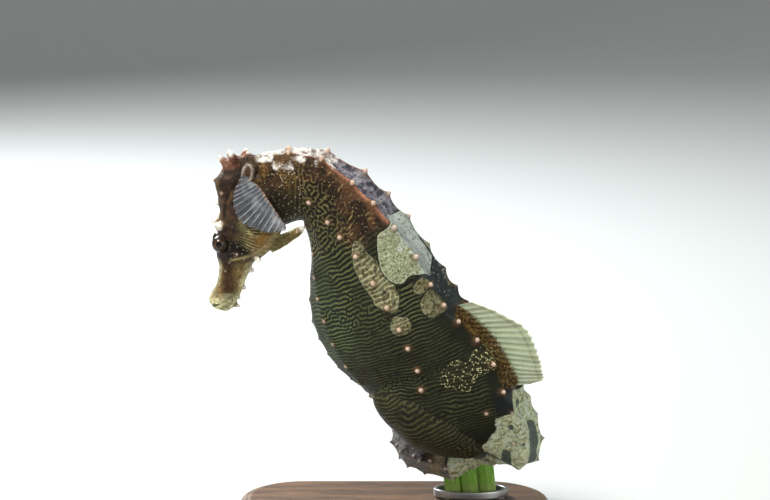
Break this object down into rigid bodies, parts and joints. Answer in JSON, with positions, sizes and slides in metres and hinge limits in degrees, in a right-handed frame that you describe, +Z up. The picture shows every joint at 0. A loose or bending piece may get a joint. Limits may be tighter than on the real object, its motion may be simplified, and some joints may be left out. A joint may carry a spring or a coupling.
{
  "type": "lined seahorse on a display stand",
  "caption": "Lined seahorse with ringed body, coronet, ray fins and brood pouch, its prehensile tail coiled round a cut bunch of eelgrass on a plain display stand.",
  "frame": {"origin": "centre of the display base's underside, on the surface it stands on", "axes": "+Z up; the animal faces -X, turns its left side to -Y and leans its back towards -Y; the eelgrass and the tail's coil are behind it, towards +Y"},
  "size_m": [0.0706, 0.052, 0.0806],
  "materials": {
    "skin": "dark olive-brown skin over bony rings with fine pale wavy lines, slightly wet",
    "snout_skin": "olive-tan skin with pale edges",
    "pale_skin": "cream-green skin with grey-brown blotches",
    "tail_skin": "grey-brown banded skin",
    "fin": "translucent grey-green membrane with pale rays",
    "eye": "wet dark eye with a brown-gold iris",
    "eelgrass": "glossy green strap leaf",
    "steel": "satin steel",
    "wood": "dark oiled walnut"
  },
  "bodies": {
    "root": {"head": "skin", "snout": "snout_skin", "coronet": "skin", "eye_left": "eye", "eye_right": "eye", "neck": "skin", "trunk_upper": "skin", "trunk_lower": "skin", "tail_base": "pale_skin", "tail_1": "tail_skin", "tail_2": "tail_skin", "tail_3": "tail_skin", "tail_4": "tail_skin", "tail_5": "tail_skin", "tail_6": "tail_skin", "pouch": "skin", "fin_dorsal": "fin", "fin_anal": "fin", "fin_pectoral_left": "fin", "fin_pectoral_right": "fin", "leaf_1": "eelgrass", "leaf_2": "eelgrass", "leaf_3": "eelgrass", "leaf_4": "eelgrass", "leaf_5": "eelgrass", "stand_collar": "steel", "stand_rod": "steel", "stand_base": "wood"}
  },
  "joints": []
}
